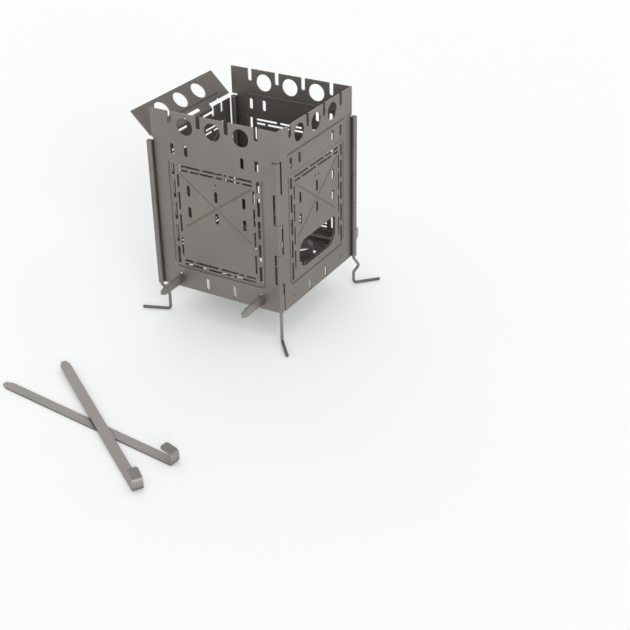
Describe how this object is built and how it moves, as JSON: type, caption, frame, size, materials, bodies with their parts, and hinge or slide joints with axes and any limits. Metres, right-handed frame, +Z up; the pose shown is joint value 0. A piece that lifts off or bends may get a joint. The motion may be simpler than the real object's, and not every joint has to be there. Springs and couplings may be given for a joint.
{
  "type": "folding camp stove",
  "caption": "Small square twig stove of hinged, pressed and perforated steel walls, with a tilting feed flap, wire legs, a leaf-patterned grate and hooked fire sticks.",
  "frame": {"origin": "on the ground, under the middle of the square of walls", "axes": "+Z up, -Y towards the plain front wall, +X towards the wall with the low feed opening"},
  "size_m": [0.1524, 0.3107, 0.156],
  "materials": {
    "wall_sheet": "matte stainless sheet",
    "leg_wire": "drawn stainless wire",
    "grate_sheet": "matte stainless sheet",
    "stick_bar": "matte stainless strip"
  },
  "bodies": {
    "stove_walls": {"front_panel": "wall_sheet", "right_panel": "wall_sheet", "back_panel": "wall_sheet"},
    "left_wall": {"left_panel": "wall_sheet", "flap_hinge_pin": "leg_wire"},
    "flap": {"feed_flap": "wall_sheet"},
    "front_right_leg": {"front_right_leg": "leg_wire"},
    "front_left_leg": {"front_left_leg": "leg_wire"},
    "back_right_leg": {"back_right_leg": "leg_wire"},
    "back_left_leg": {"back_left_leg": "leg_wire"},
    "grate": {"fire_grate": "grate_sheet"},
    "stick_left": {"fire_stick_left": "stick_bar"},
    "stick_right": {"fire_stick_right": "stick_bar"},
    "spare_under": {"spare_stick_under": "stick_bar"},
    "spare_over": {"spare_stick_over": "stick_bar"}
  },
  "joints": [
    {"name": "left_wall_hinge", "type": "hinge", "parent": "stove_walls", "child": "left_wall", "pos_m": [-0.05118, -0.05118, 0.079], "axis": [0, 0, 1], "range_deg": [0, 180]},
    {"name": "flap_hinge", "type": "hinge", "parent": "left_wall", "child": "flap", "pos_m": [-0.05118, 0, 0.1315], "axis": [0, -1, 0], "range_deg": [-46, 134]},
    {"name": "front_right_leg_swivel", "type": "hinge", "parent": "stove_walls", "child": "front_right_leg", "pos_m": [0.04792, -0.04792, 0.079], "axis": [0, 0, 1], "continuous": true},
    {"name": "front_left_leg_swivel", "type": "hinge", "parent": "stove_walls", "child": "front_left_leg", "pos_m": [-0.05118, -0.05118, 0.079], "axis": [0, 0, 1], "continuous": true},
    {"name": "back_right_leg_swivel", "type": "hinge", "parent": "stove_walls", "child": "back_right_leg", "pos_m": [0.05118, 0.05118, 0.079], "axis": [0, 0, 1], "continuous": true},
    {"name": "back_left_leg_swivel", "type": "hinge", "parent": "stove_walls", "child": "back_left_leg", "pos_m": [-0.04792, 0.04792, 0.079], "axis": [0, 0, 1], "continuous": true},
    {"name": "grate_lift", "type": "slide", "parent": "stove_walls", "child": "grate", "axis": [0, 0, 1], "range_m": [0, 0.13]},
    {"name": "left_stick_slide", "type": "slide", "parent": "stove_walls", "child": "stick_left", "axis": [0, 1, 0], "range_m": [-0.017, 0.15]},
    {"name": "right_stick_slide", "type": "slide", "parent": "stove_walls", "child": "stick_right", "axis": [0, 1, 0], "range_m": [-0.017, 0.15]},
    {"name": "spare_under_slide", "type": "slide", "parent": "stove_walls", "child": "spare_under", "axis": [0.9942, -0.108, 0], "range_m": [0, 0.095]},
    {"name": "spare_over_lift", "type": "slide", "parent": "spare_under", "child": "spare_over", "axis": [0, 0, 1], "range_m": [0, 0.05]}
  ]
}
